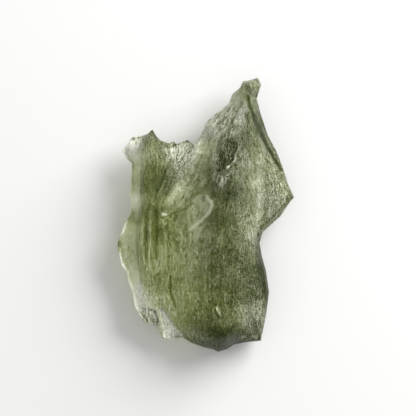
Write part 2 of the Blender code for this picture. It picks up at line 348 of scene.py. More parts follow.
@dataclass(frozen=True)
class Streak(Line):
    """A furrow, a fold or a frosted line; its points say its half width."""

    def mask(self, x: np.ndarray, y: np.ndarray) -> np.ndarray:
        """A bell curve: e to the minus square of the distance over the half width."""
        distance, half = self.measure(x, y)
        return np.exp(-((distance / half) ** 2))


@dataclass(frozen=True)
class Ledge(Line):
    """A crack edge: the glass on the path's left lies lower, and rises again over the reach.

    At either end it fades over a share of the run to the next point.
    """

    reach: float = 1.0
    end_share: float = 1 / 3

    def mask(self, x: np.ndarray, y: np.ndarray) -> np.ndarray:
        """One beside the path on its left, less evenly to none at the reach and at the path's ends.

        Args:
            x: First coordinates in millimetres.
            y: Second coordinates.

        Returns:
            Where the glass lies lower, from 0 to 1.
        """
        distance, side, place = to_path(x, y, self.path)
        ends = np.clip(np.minimum(place, len(self.path) - 1 - place) / self.end_share, 0, 1)
        return np.where(side > 0, ends * np.clip(1 - distance / self.reach, 0, 1), 0.0)


@dataclass(frozen=True)
class Bowl(Mark):
    """An oval hollow, such as a burst bubble, turned by so many degrees."""

    centre: tuple[float, float] = (0.0, 0.0)
    half_axes: tuple[float, float] = (1.0, 1.0)
    turn: float = 0.0

    def mask(self, x: np.ndarray, y: np.ndarray) -> np.ndarray:
        """One less the squares of the distances along and across, each over its half axis.

        Args:
            x: First coordinates in millimetres.
            y: Second coordinates.

        Returns:
            How deep the bowl is, from 0 to 1.
        """
        angle = math.radians(self.turn)
        dx = x - self.centre[0]
        dy = y - self.centre[1]
        along = (dx * math.cos(angle) + dy * math.sin(angle)) / self.half_axes[0]
        across = (dy * math.cos(angle) - dx * math.sin(angle)) / self.half_axes[1]
        return np.clip(1 - along**2 - across**2, 0, 1)


@dataclass(frozen=True)
class Chip(Mark):
    """A flat chip or facet with straight sides; the edge says how wide the step at its border is."""

    corners: tuple = ()
    edge: float = 0.15

    def mask(self, x: np.ndarray, y: np.ndarray) -> np.ndarray:
        """One inside, and less smoothly to none at the border.

        A point is inside where a level line from it to the right crosses an odd number of sides.

        Args:
            x: First coordinates in millimetres.
            y: Second coordinates.

        Returns:
            Where the chip is, from 0 to 1.
        """
        inside = np.zeros(x.shape, bool)
        points = np.array(self.corners, float)
        for start, end in zip(points, np.roll(points, -1, axis=0)):
            if start[1] != end[1]:
                crossing = start[0] + (y - start[1]) * (end[0] - start[0]) / (end[1] - start[1])
                inside ^= ((start[1] > y) != (end[1] > y)) & (x < crossing)
        distance = to_path(x, y, (*self.corners, self.corners[0]))[0]
        return np.where(inside, smooth_step(distance, 0.0, self.edge), 0.0)


@dataclass(frozen=True)
class BendingSurface:
    """The surface of least bending through spots: x, y and one or more values at each."""

    spots: np.ndarray

    def kernel(self, x: np.ndarray, y: np.ndarray) -> np.ndarray:
        """Half the squared distance to each spot, times the logarithm of it."""
        squared = (x[..., None] - self.spots[:, 0]) ** 2 + (y[..., None] - self.spots[:, 1]) ** 2
        return 0.5 * squared * np.log(squared + LEAST_SQUARE)

    def values(self, x: np.ndarray, y: np.ndarray) -> np.ndarray:
        """Solve for the spots' weights and a plane, and sum them up at every point.

        Args:
            x: First coordinates.
            y: Second coordinates.

        Returns:
            The values at each point, along the last axis.
        """
        count, width = self.spots.shape
        sides = np.column_stack([np.ones(count), self.spots[:, :2]])
        system = np.zeros((count + 3, count + 3))
        system[:count, :count] = self.kernel(self.spots[:, 0], self.spots[:, 1])
        system[:count, count:] = sides
        system[count:, :count] = sides.T
        given = np.concatenate([self.spots[:, 2:], np.zeros((3, width - 2))])
        weights = np.linalg.solve(system, given)
        plane = weights[count] + x[..., None] * weights[count + 1] + y[..., None] * weights[count + 2]
        return self.kernel(x, y) @ weights[:count] + plane


# The broken outline, in four stretches, clockwise seen from above: x, y and the glass left at the edge

TOP_EDGE = (
    (-9.8, 7.6, 0.5),
    (-9.0, 8.5, 0.6),
    (-8.6, 9.1, 0.7),
    (-7.3, 9.3, 0.8),
    (-6.8, 9.5, 0.8),
    (-6.3, 10.0, 0.7),
    (-5.8, 9.2, 0.8),
    (-5.3, 8.7, 0.8),
    (-4.4, 8.4, 0.7),
    (-3.8, 8.6, 0.5),
    (-3.5, 8.3, 0.5),
    (-2.2, 8.8, 0.5),
    (-1.7, 8.4, 0.5),
    (-1.2, 8.35, 0.5),
    (-0.7, 9.2, 0.6),
    (-0.3, 10.1, 0.6),
    (-0.1, 10.8, 0.6),
    (1.1, 11.8, 0.7),
    (2.6, 13.0, 0.8),
    (3.1, 14.2, 0.8),
    (3.9, 14.8, 1.0),
    (4.3, 15.6, 1.3),
    (4.9, 15.65, 1.4),
    (6.0, 16.0, 1.5),
)
RIGHT_EDGE = (
    (6.0, 16.0, 1.5),
    (6.4, 15.2, 1.5),
    (5.9, 13.6, 1.3),
    (6.3, 12.0, 1.1),
    (7.2, 9.3, 1.0),
    (8.2, 7.5, 0.9),
    (8.9, 5.7, 0.8),
    (9.6, 3.5, 0.8),
    (10.25, 2.1, 0.8),
    (9.6, 1.3, 1.0),
    (8.7, -0.1, 1.2),
    (7.8, -0.9, 1.4),
    (6.6, -2.0, 1.8),
    (6.25, -3.2, 2.3),
    (6.5, -4.7, 2.6),
    (7.0, -6.5, 2.8),
    (7.35, -9.0, 2.8),
    (7.0, -11.7, 2.6),
    (6.4, -14.65, 1.6),
)
BOTTOM_EDGE = (
    (-5.1, -14.3, 0.5),
    (-4.4, -14.45, 0.5),
    (-2.7, -14.3, 0.9),
    (-1.6, -14.95, 1.8),
    (-0.3, -15.4, 2.5),
    (0.9, -15.7, 2.7),
    (1.4, -15.95, 2.6),
    (2.4, -15.65, 2.4),
    (3.3, -15.1, 2.0),
    (4.7, -14.85, 1.7),
    (6.4, -14.65, 1.6),
)
LEFT_EDGE = (
    (-5.1, -14.3, 0.5),
    (-5.5, -13.4, 0.5),
    (-6.1, -12.8, 0.5),
    (-7.2, -12.45, 0.5),
    (-7.8, -11.8, 0.5),
    (-8.4, -10.5, 0.5),
    (-8.55, -9.3, 0.5),
    (-9.15, -7.6, 0.5),
    (-9.3, -6.6, 0.5),
    (-9.9, -5.9, 0.5),
    (-10.3, -4.0, 0.6),
    (-10.35, -3.3, 0.6),
    (-9.6, -1.1, 0.7),
    (-9.0, -0.1, 0.8),
    (-8.75, 1.0, 0.9),
    (-8.9, 2.6, 1.0),
    (-8.7, 4.7, 0.9),
    (-8.7, 6.1, 0.8),
    (-9.2, 6.5, 0.6),
    (-9.8, 7.6, 0.5),
)

# Heights of the underside's plain surface over the table: x, y and z. What is below the table is levelled off

UNDERSIDE_SPOTS = (
    (-9.6, 7.4, 3.3),
    (-6.3, 9.6, 3.0),
    (-2.5, 8.3, 2.4),
    (2.6, 12.8, 2.6),
    (5.4, 15.6, 3.2),
    (7.5, 8.8, 2.6),
    (10.0, 2.2, 2.9),
    (6.6, -2.2, 1.3),
    (7.2, -9.0, 0.9),
    (6.3, -14.4, 1.2),
    (1.4, -15.6, 0.9),
    (-5.0, -14.0, 2.6),
    (-8.3, -10.5, 3.0),
    (-10.1, -4.0, 3.2),
    (-8.7, 2.0, 2.8),
    (-6.0, 4.0, 1.2),
    (-6.0, -5.0, 1.0),
    (3.0, 7.5, 0.8),
    (-2.0, 3.5, -0.1),
    (1.5, 3.0, -0.3),
    (-2.5, -2.0, -0.4),
    (2.0, -3.0, -0.5),
    (-2.0, -7.5, -0.2),
    (3.0, -8.5, -0.2),
)

# What lies at each spot: x, y, glass in millimetres, tone and how etched it is, from 0 to 1. A tone of -2 is
# a dark groove, -1 is darkened glass, 0 is clear, 1 is frosted and 2 is white as ground glass

GLASS_SPOTS = (
    # The ear, the left lobe and the thin left facet
    (-8.9, 7.9, 1.5, 1.55, 0.8),
    (-8.1, 6.9, 2.2, 0.7, 0.4),
    (-6.3, 8.8, 2.8, -0.8, 0.45),
    (-6.5, 6.7, 3.6, -0.05, 0.45),
    (-7.5, 5.5, 3.0, 0.9, 0.0),
    (-8.0, 4.5, 2.6, 0.3, 0.0),
    (-8.1, 1.5, 2.6, 1.1, 0.25),
    (-6.6, 3.5, 4.2, -0.2, 0.1),
    (-5.6, 3.5, 4.4, -0.85, 0.3),
    (-5.2, 5.9, 4.0, -0.6, 0.4),
    (-6.4, 0.8, 4.2, -0.1, 0.1),
    (-7.9, -1.2, 2.6, 0.6, 0.0),
    (-7.6, -1.4, 3.0, 0.95, 0.1),
    (-8.7, -4.4, 1.8, 0.0, 0.25),
    (-7.0, -4.4, 3.4, 0.85, 0.1),
    (-7.7, -9.6, 1.4, 1.5, 0.5),
    (-7.3, -7.0, 2.6, 1.0, 0.15),
    # The valley that runs down from the notch
    (-4.0, 6.2, 2.8, 0.2, 0.6),
    (-2.8, 7.6, 1.2, 0.8, 0.9),
    (-1.6, 7.9, 1.2, 0.9, 0.7),
    (-3.4, 4.1, 3.0, 0.1, 0.5),
    (-4.3, 1.6, 3.8, 0.3, 0.3),
    (-2.3, 3.0, 3.3, 1.6, 0.2),
    (-1.3, 2.4, 4.4, 0.85, 0.1),
    # The streaked middle, on the left of the main ridge
    (-5.9, -2.0, 4.4, 0.1, 0.0),
    (-4.2, -2.4, 4.4, 0.3, 0.1),
    (-2.4, -1.2, 4.2, 1.1, 0.1),
    (-1.3, -3.5, 4.4, 1.3, 0.1),
    (-3.6, -5.9, 4.4, 0.75, 0.1),
    (-1.2, -6.5, 4.8, 0.95, 0.1),
    (-5.9, -7.6, 3.4, 0.35, 0.2),
    (-3.0, -8.8, 4.2, 0.8, 0.1),
    (-2.4, -11.6, 4.0, 0.7, 0.1),
    # The main ridge, from the hollow down to the blunt lower end
    (-0.8, 5.3, 3.7, 0.95, 0.3),
    (0.4, 3.5, 5.4, 0.35, 0.3),
    (0.4, 8.2, 3.0, 1.1, 0.3),
    (-0.7, 7.3, 2.8, 1.4, 0.3),
    (2.3, 6.7, 5.4, -0.75, 0.8),
    (2.7, 2.9, 6.6, -1.6, 0.6),
    (1.4, 0.0, 6.9, -0.35, 0.3),
    (1.7, 1.5, 6.8, -0.05, 0.3),
    (2.6, -0.7, 6.6, -0.4, 0.3),
    (1.2, -3.0, 6.6, 0.5, 0.2),
    (2.6, -3.6, 6.4, -0.5, 0.3),
    (2.3, -6.5, 6.4, -0.1, 0.3),
    (-0.1, -10.0, 5.4, 0.45, 0.1),
    (2.0, -11.2, 5.6, -0.15, 0.2),
    (2.6, -14.3, 5.2, -1.7, 0.3),
    (-0.1, -14.3, 4.8, -0.75, 0.5),
    # The arm and the beak
    (1.1, 10.9, 1.6, 1.05, 0.95),
    (0.4, 9.8, 2.0, 1.5, 0.7),
    (2.6, 10.6, 3.0, -0.05, 0.95),
    (3.8, 11.6, 2.8, 0.85, 1.0),
    (4.0, 13.3, 2.4, 0.4, 0.6),
    (5.3, 12.2, 3.6, -0.7, 0.8),
    (5.2, 14.9, 3.4, -0.3, 0.8),
    # The wing on the right
    (5.4, 10.4, 4.2, -1.2, 0.9),
    (4.6, 7.6, 4.4, -0.15, 0.6),
    (6.6, 8.2, 3.0, -0.45, 0.6),
    (6.1, 4.7, 2.8, 0.7, 0.5),
    (4.4, 3.7, 4.6, -0.1, 0.5),
    (5.2, 1.8, 3.8, 0.0, 0.5),
    (7.4, 5.2, 2.4, 0.1, 0.6),
    (8.2, 3.0, 2.2, -0.15, 0.8),
    (9.4, 2.2, 1.6, -0.35, 0.8),
    (6.6, 0.0, 2.8, 0.4, 0.5),
    (7.8, 0.6, 2.2, 0.25, 0.8),
    # The right flank
    (4.2, 0.0, 5.2, -0.25, 0.55),
    (4.2, -3.0, 5.6, 0.0, 0.5),
    (5.6, -2.9, 4.6, -0.15, 0.6),
    (6.0, -5.3, 4.6, -0.95, 0.5),
    (4.2, -6.5, 5.6, -0.2, 0.45),
    (6.0, -8.8, 4.4, -0.95, 0.6),
    (4.6, -10.2, 4.8, -0.1, 0.4),
    (4.6, -12.2, 4.6, -0.4, 0.5),
    (6.3, -12.1, 4.0, -0.3, 0.9),
)

# What is cut into the upper face: depth, what is added to the tone, then the places and widths

UPPER_MARKS = (
    # The smooth thin facet along the left edge, from the ear down to the side chip
    Chip(0.5, 1.25, ((-7.25, 10), (-10.55, 9.55), (-10.55, 4.7), (-9.5, 1.2), (-11.5, -2.35),
        (-11.5, -5.55), (-9.85, -8.8), (-8.55, -11.4), (-6.9, -11.05), (-7.25, -9.15), (-7.4, -6.8),
        (-7.75, -4.1), (-7.75, -1.75), (-7.6, -0.25), (-7.4, 1.4), (-7.25, 3.3), (-7.25, 6.7)), 0.3),
    Streak(0.0, 0.7, ((-8.7, 3.75, 0.1), (-8.75, 1.2, 0.1), (-8.7, -0.1, 0.1))),
    Chip(0.0, 1.1, ((-8.25, -8), (-7.4, -7.9), (-7.2, -11.15), (-7.85, -10.8)), 0.2, etch=0.3),
    # The dark contour of the ear
    Streak(0.0, -1.6, ((-9.8, 7.6, 0.11), (-9.15, 8.35, 0.1), (-8.45, 9, 0.09))),
    Streak(0.0, -1.2, ((-9.8, 7.55, 0.1), (-9.5, 6.95, 0.09), (-9.15, 6.45, 0.08))),
    # The white crescents outside the left bulge, and its jagged tip
    Chip(0.3, 0.9, ((-8.9, -0.45), (-10.35, -1.3), (-10.45, -2.45), (-9.75, -2.45),
        (-9.25, -1.65)), 0.12, etch=0.4),
    Chip(0.3, 0.9, ((-10.7, -4.25), (-9.95, -4.35), (-9.6, -5.55), (-9.15, -6.7), (-9.85, -7.15),
        (-10.8, -5.55)), 0.12, etch=0.4),
    Chip(0.2, -0.9, ((-10.45, -3.2), (-9.95, -2.8), (-9.75, -3.55), (-10.1, -4.1)), 0.1),
    # The open bubble: its soft floor, the bright arc of its lip, a painted highlight, and the pale facet
    # below it
    Bowl(0.6, 1.05, (-0.75, 0.35), (2.05, 1.25), 72.0),
    Streak(-0.02, 0.5, ((-1.5, 0.95, 0.16), (-1.25, 1.9, 0.2), (-0.55, 2.3, 0.22), (0.15, 2.05, 0.2))),
    # Painted highlight: a bright line along the bubble's lower lip
    Streak(-0.03, 1.4, ((0.15, 2.05, 0.18), (0.75, 1.2, 0.22), (0.4, 0.25, 0.22), (-0.7, -0.75, 0.24),
        (-1.75, -1.65, 0.18))),
    Streak(0.0, 1.1, ((-0.95, 1.75, 0.35), (-0.2, 1.4, 0.45), (0.05, 0.5, 0.35))),
    Chip(0.08, 0.7, ((0.4, 0), (-1.85, -1.9), (-1.75, -3.2), (-1.05, -3.9), (-0.2, -2)), 0.25),
    # A small burst bubble, with a painted highlight in it
    Bowl(0.3, 2.1, (-4.85, 0.1), (0.62, 0.36), 0.0, etch=0.3),
    Streak(0.04, -0.5, ((-5.6, 0.25, 0.1), (-5.05, -0.35, 0.12), (-4.2, -0.1, 0.1))),
    # The deep hollow with painted shade, its crooked crest with a painted highlight and glint, and the grey
    # corner below it
    Streak(0.45, -0.35, ((1.5, 5.2, 0.6), (2, 6.5, 0.9), (2.5, 7.7, 0.9), (3, 8.8, 0.5)), etch=0.3),
    # Painted shade in the hollow
    Streak(0.0, -0.9, ((1.9, 9.1, 0.2), (1.6, 7.9, 0.28), (1.7, 6.6, 0.35), (2.4, 5.5, 0.3))),
    Ledge(0.5, 0.0, ((2.4, 5.55), (3.1, 6.15), (3.4, 7.05), (3.8, 7.9), (3.65, 8.7)), 0.9),
    # Painted highlight along the crooked crest
    Streak(-0.05, 1.1, ((2.4, 5.4, 0.14), (2.7, 5.7, 0.1), (3.1, 6.15, 0.09), (3.45, 6.45, 0.09),
        (3.35, 7.05, 0.09), (3.75, 7.65, 0.1), (3.8, 8.25, 0.08), (3.55, 8.7, 0.07))),
    # Painted glint on the crest
    Bowl(0.1, 1.8, (2.55, 5.6), (0.3, 0.25), 30.0),
    Chip(0.1, 0.8, ((0.95, 4.3), (2.95, 4.9), (2.75, 3.75), (2, 2.95), (1.5, 3.3)), 0.3, etch=0.4),
    # Painted glint in the grey corner
    Bowl(0.1, 1.6, (1, 4.25), (0.32, 0.25), 0.0),
    Streak(0.05, -0.6, ((2.95, 4.8, 0.15), (2.8, 3.4, 0.25), (2.5, 2, 0.2), (2.3, 0.6, 0.1))),
    # Painted shade at the top of the hollow
    Streak(0.0, -0.35, ((2.95, 8.45, 0.3), (2.5, 7.65, 0.35), (1.9, 6.8, 0.35))),
    # The notch: its sharp thin rim, its painted glint and its wrinkles
    Streak(0.03, -1.3, ((-3.95, 7.95, 0.08), (-3.25, 8.45, 0.08), (-2.35, 8.8, 0.09),
        (-1.75, 8.45, 0.08), (-1.4, 7.75, 0.08))),
    # Painted glint in the notch
    Bowl(0.15, 1.8, (-3.95, 7.65), (0.42, 0.3), 0.0),
    Streak(0.05, -0.7, ((-3.15, 7.65, 0.08), (-3.4, 6.45, 0.09), (-3.05, 5.4, 0.08))),
    Streak(0.05, -0.6, ((-2.2, 7.75, 0.08), (-2.55, 6.8, 0.09), (-3.15, 6.1, 0.08))),
    # The fold to the right of the valley, and the lines in the valley
    Streak(-0.25, 0.3, ((-0.9, 8.45, 0.5), (-2.2, 5.3, 0.7), (-3.4, 2.95, 0.7), (-4.7, 0.95, 0.5))),
    Streak(0.05, -0.5, ((-4.1, 6.45, 0.12), (-5.05, 4.1, 0.15), (-5.95, 1.55, 0.12))),
    Streak(-0.03, 0.45, ((-4.8, 3.9, 0.09), (-5.5, 2.45, 0.1), (-6.1, 1.05, 0.09))),
    Streak(-0.03, 0.35, ((-3.95, 4.7, 0.09), (-4.7, 2.7, 0.1), (-5.4, 1.05, 0.09))),
    Streak(0.03, -0.35, ((-4.45, 0, 0.09), (-3.5, 0.35, 0.1), (-2.55, 0.6, 0.1), (-1.6, 1.2, 0.1))),
    # Furrows and folds down the left side
    Streak(0.08, -0.35, ((-6.95, 0.25, 0.3), (-7, -3.1, 0.3), (-6.95, -5.6, 0.1))),
    Streak(-0.03, 0.6, ((-6.25, 1.4, 0.09), (-6.55, -0.6, 0.1), (-6.5, -2.95, 0.1), (-6.6, -4.95, 0.09))),
    Streak(0.08, -0.4, ((-5.85, 0.6, 0.15), (-5.75, -2, 0.4), (-5.85, -5.05, 0.2))),
    Streak(-0.06, 0.3, ((-4.9, -1.05, 0.35), (-5.05, -3.9, 0.4), (-5.25, -7.15, 0.3))),
    Streak(0.12, -0.6, ((-4.1, -7.15, 0.12), (-4.15, -8.95, 0.3), (-3.6, -10.7, 0.15))),
    Streak(0.03, -0.35, ((0.6, -5.55, 0.1), (0.65, -7.65, 0.12), (0.75, -10.25, 0.1))),
    # The broken white grains at the lower left, and the pale chip beside them
    Chip(0.15, -0.4, ((-7.85, -11.05), (-6.9, -10.7), (-5.75, -11), (-5.35, -12.4), (-5.6, -13.2),
        (-6.2, -13.3), (-7.25, -12.7)), 0.25, etch=1.0),
    Streak(0.08, -1.5, ((-7.75, -11.15, 0.1), (-7.15, -11.9, 0.12), (-6.7, -12.7, 0.1),
        (-6.1, -12.95, 0.1))),
    Chip(0.35, 1.2, ((-5.6, -10.8), (-4.9, -10.7), (-4.1, -11.75), (-3.4, -12.95), (-2.35, -14.1),
        (-3.05, -14.7), (-4.9, -15.3), (-5.1, -13.5), (-5.3, -12)), 0.3, etch=0.3),
    Streak(0.04, -0.5, ((-5.15, -10.35, 0.12), (-4.2, -11.9, 0.12), (-3.25, -13.3, 0.12),
        (-2.2, -14.35, 0.12))),
    # The arm: its thin clear edge, the bright triangle below the beak and the furrow on its left
    Streak(0.0, 1.3, ((3.2, 14.35, 0.3), (2.5, 13.15, 0.35), (1.55, 12.25, 0.3))),
    Chip(0.1, 0.9, ((4.85, 13.95), (5.1, 11.65), (4.5, 10), (3.45, 8.7), (2.6, 9.05), (2.95, 10.35),
        (3.55, 11.75), (4.15, 13.05)), 0.3),
    Streak(0.08, -0.6, ((4.15, 13.05, 0.12), (3.3, 11.4, 0.15), (2.75, 9.75, 0.2), (2.4, 8.6, 0.25))),
    # The grey bevel along the right edge, and the cracked line inside it
    Chip(0.35, 0.1, ((5.3, 13.75), (5.9, 12), (6.35, 10.25), (7.55, 8), (9.1, 4.8), (10.6, 5.05),
        (8.15, 11.15), (6.15, 14.1)), 0.12, etch=0.4),
    Streak(0.12, -2.8, ((4.85, 13.75, 0.16), (5.3, 12.1, 0.2), (5.9, 10.6, 0.2), (6.8, 8.75, 0.18),
        (7.65, 7.15, 0.18), (8.75, 5.3, 0.15))),
    Streak(-0.04, 0.7, ((5.45, 11.4, 0.08), (6.15, 10, 0.08), (7.3, 7.9, 0.08))),
    # Pale and green bands down the wing, its dark lower edge, and painted shade along the right flank's edge
    Streak(-0.08, 0.4, ((6.15, 6.7, 0.4), (6.25, 2.95, 0.45), (6, -1.3, 0.4))),
    Streak(0.04, -0.4, ((7.1, 6.25, 0.25), (7.1, 2.95, 0.3), (6.95, -0.35, 0.2))),
    Streak(0.0, -0.9, ((9.85, 1.95, 0.1), (8.85, 0.95, 0.12), (7.85, -0.2, 0.12), (6.55, -1.35, 0.14),
        (6.25, -2.25, 0.16))),
    # Painted shade: the right flank darkened along its steep edge
    Streak(0.1, -1.2, ((6.1, -2.2, 0.25), (6.35, -4, 0.4), (6.6, -6.35, 0.5), (6.8, -8.2, 0.4),
        (7.05, -10, 0.2), (7.2, -10.9, 0.12))),
    # The grey facet at the lower right, and the grains on its broken rim
    Chip(0.12, 0.6, ((3.3, -10.6), (4, -9.9), (4.85, -10), (5.45, -11.5), (5.8, -13.5), (4.75, -13.9),
        (3.1, -13.65)), 0.4),
    Chip(0.1, 1.3, ((3.8, -14.25), (4.75, -13.9), (4.85, -14.35), (4, -14.7)), 0.12, etch=0.5),
    Chip(0.1, 1.3, ((5.1, -14), (6.15, -13.75), (6.15, -14.35), (5.2, -14.45)), 0.12, etch=0.5),
    # The white fleck, the bright spot and the dark blunt end
    Streak(0.05, 2.0, ((1.25, -10.7, 0.08), (1.5, -11.15, 0.14), (1.75, -11.6, 0.1))),
    Streak(0.05, -0.6, ((0.95, -10.35, 0.1), (1.1, -11.3, 0.13), (1.45, -12, 0.1))),
    Bowl(0.05, 2.0, (2.95, -12.7), (0.2, 0.2), 0.0),
    Bevel(0.0, -0.6, ((-2.35, -14.45, 0.5), (-1.15, -14.95, 0.8), (1.3, -16, 0.9), (2.4, -15.5, 0.9),
        (3.8, -14.95, 0.6))),
)


@dataclass(frozen=True)
class Weathering:
    """What flow and water left on the glass: streaks and lines along the flow, dashes, pits and lumps.

    Sizes, heights and depths are in millimetres and angles in radians. A zone is where something rises
    from none to whole, and a tone is what is added to the stone's tone.
    """

    # The flow: a fan below the beak, with a slanting border on its left
    beak: tuple[float, float] = (4.85, 15.3)
    fan_length: float = 15.0
    fan_start: float = 2.0
    fan_bend: float = 1.2
    least_reach: float = 1.0
    border_foot: tuple[float, float] = (-6.4, 1.0)
    border_slant: float = 0.42
    border_width: float = 2.0
    waver: float = 0.25
    waver_size: tuple[float, float] = (5.0, 7.0)
    slant: float = 0.3
    least_below: float = 0.8
    upright_zone: tuple[float, float] = (-4.0, 4.0)
    lean_limits: tuple[float, float] = (-0.6, 0.5)
    # Streaks, lines and lumps, which lie all over
    streak_width: float = 1.0
    streak_length: float = 9.0
    streak_height: float = 0.07
    line_width: float = 0.30
    line_length: float = 4.5
    line_height: float = 0.012
    line_tone: float = 0.3
    faint_lines: float = 0.4
    line_zone: tuple[float, float] = (2.0, 5.0)
    lump_size: float = 2.4
    lump_height: float = 0.09
    mottle_size: float = 1.3
    mottle_tone: float = 0.35
    grain_size: float = 0.24
    grain_tone: float = 0.15
    # Dashes and pits, which lie where the glass is etched
    etched_zone: tuple[float, float] = (0.5, 1.0)
    dash_width: float = 0.24
    dash_length: float = 1.0
    dash_zone: tuple[float, float] = (0.0, 0.4)
    dash_depth: float = 0.028
    # Painted shade: how much the etched dashes darken the tone
    dash_shade: float = 0.8
    patch_size: tuple[float, float] = (1.7, 2.6)
    patch_zone: tuple[float, float] = (-0.45, 0.35)
    least_patch: float = 0.35
    pit_spacing: float = 0.45
    pit_depth: float = 0.02
    # Painted shade in the etch pits, and how far the painted shade of dashes and pits lowers the tone
    pit_shade: float = 0.3
    groove_shade_tone: float = 0.9
    # The underside: wavering ribs and wide shallow pits
    lower_waver: float = 0.3
    lower_waver_size: tuple[float, float] = (4.0, 6.0)
    rib_width: float = 1.2
    rib_length: float = 8.0
    rib_share: float = 0.5
    lower_pit_spacing: float = 1.4
    lower_pit_depth: float = 0.05

    def in_fan(self, x: np.ndarray, y: np.ndarray) -> np.ndarray:
        """Rise from 0 at the fan's slanting border to 1 at the border's width to the right of it."""
        border = self.border_foot[0] + self.border_slant * (y - self.border_foot[1])
        return smooth_step(x - border, 0.0, self.border_width)

    def flow(self, x: np.ndarray, y: np.ndarray) -> tuple[np.ndarray, np.ndarray]:
        """Number the flow lines: they run along the stone, and fan out from the beak in the arm and the wing.

        A line of the fan keeps its number down to the fan's length below the beak, where it turns upright:
        the reach is the smooth least of the length and of the way down from the beak.

        Args:
            x: First coordinates.
            y: Second coordinates.

        Returns:
            The line's number, in millimetres across, and the place along it.
        """
        below = self.beak[1] - y + self.fan_start
        reach = -np.logaddexp(-below * self.fan_bend, -self.fan_length * self.fan_bend) / self.fan_bend
        fan = self.beak[0] + (x - self.beak[0]) * self.fan_length / np.maximum(reach, self.least_reach)
        line = x + (fan - x) * self.in_fan(x, y)
        waver = self.waver * lattice_noise(x / self.waver_size[0], y / self.waver_size[1], Seed.WAVER)
        return line + waver, y + self.slant * x

    def lean(self, x: np.ndarray, y: np.ndarray) -> np.ndarray:
        """Angle of the flow from upright, in radians: positive where it runs down and to the right.

        Args:
            x: First coordinates.
            y: Second coordinates.

        Returns:
            The angle of a line from the beak, turning upright on the left lobe and in the lower half.
        """
        from_beak = np.arctan2(x - self.beak[0], np.maximum(self.beak[1] - y, self.least_below))
        share = self.in_fan(x, y) * smooth_step(y, *self.upright_zone)
        return np.clip(from_beak, *self.lean_limits) * share

    def strokes(self, x: np.ndarray, y: np.ndarray, width: float, length: float, seed: int) -> np.ndarray:
        """Noise drawn out along the flow: one upright noise for each of five leanings, each where it fits.

        Args:
            x: First coordinates.
            y: Second coordinates.
            width: Size of a lump across the flow.
            length: Size of a lump along it.
            seed: Which noise.

        Returns:
            Values mostly between -1 and 1.
        """
        lean = self.lean(x, y)
        total = np.zeros(x.shape)
        for index, angle in enumerate(LEANINGS):
            share = np.clip(1 - np.abs(lean - angle) / LEAN_STEP, 0, 1)
            across = x * math.cos(angle) + y * math.sin(angle)
            along = y * math.cos(angle) - x * math.sin(angle)
            noise = layered_noise(across / width, along / length, seed + SEED_STEP * index, layers=2)
            total += share * noise
        return total

    def upper(
        self, x: np.ndarray, y: np.ndarray, etched: np.ndarray
    ) -> tuple[np.ndarray, np.ndarray]:
        """Relief of the upper face, and the tone of its lines and its grains, with painted shade in its
        etched dashes and pits.

        Args:
            x: First coordinates.
            y: Second coordinates.
            etched: How etched each point is, from 0 to 1.

        Returns:
            Height over the plain surface, and what to add to the tone.
        """
        line, place = self.flow(x, y)
        streaks = layered_noise(line / self.streak_width, place / self.streak_length, Seed.STREAKS, layers=2)
        lines = self.strokes(x, y, self.line_width, self.line_length, Seed.LINES)
        lumps = layered_noise(x / self.lump_size, y / self.lump_size, Seed.LUMPS)
        height = self.streak_height * streaks + self.lump_height * lumps + self.line_height * lines

        bitten = smooth_step(etched, *self.etched_zone)
        rough = self.strokes(x, y, self.dash_width, self.dash_length, Seed.DASHES)
        dashes = smooth_step(rough, *self.dash_zone) * bitten
        pits = cupules(x, y, self.pit_spacing, Seed.PITS) * bitten
        height = height - self.dash_depth * dashes - self.pit_depth * pits

        patches = lattice_noise(x / self.patch_size[0], y / self.patch_size[1], Seed.PATCHES)
        filled = self.least_patch + (1 - self.least_patch) * smooth_step(patches, *self.patch_zone)
        # Painted shade: dashes and pits are darkened as if shade lay in these recesses
        dark = np.clip(self.dash_shade * dashes * filled + self.pit_shade * pits, 0, 1)
        clear_lines = self.faint_lines + (1 - self.faint_lines) * smooth_step(-x, *self.line_zone)
        mottle = layered_noise(x / self.mottle_size, y / self.mottle_size, Seed.MOTTLE, layers=2)
        grains = lattice_noise(x / self.grain_size, y / self.grain_size, Seed.GRAINS)
        tone = self.line_tone * lines * clear_lines + self.mottle_tone * mottle + self.grain_tone * grains
        return height, tone - self.groove_shade_tone * dark

    def lower(self, x: np.ndarray, y: np.ndarray) -> np.ndarray:
        """Relief of the underside: ribs along the stone, lower than the streaks above, and round pits.

        Args:
            x: First coordinates.
            y: Second coordinates.

        Returns:
            What to add to the height, so that a pit goes up into the glass.
        """
        size_x, size_y = self.lower_waver_size
        line = x + self.lower_waver * lattice_noise(x / size_x, y / size_y, Seed.LOWER_WAVER)
        ribs = layered_noise(line / self.rib_width, y / self.rib_length, Seed.RIBS, layers=2)
        pits = cupules(x, y, self.lower_pit_spacing, Seed.LOWER_PITS)
        return self.streak_height * self.rib_share * ribs + self.lower_pit_depth * pits


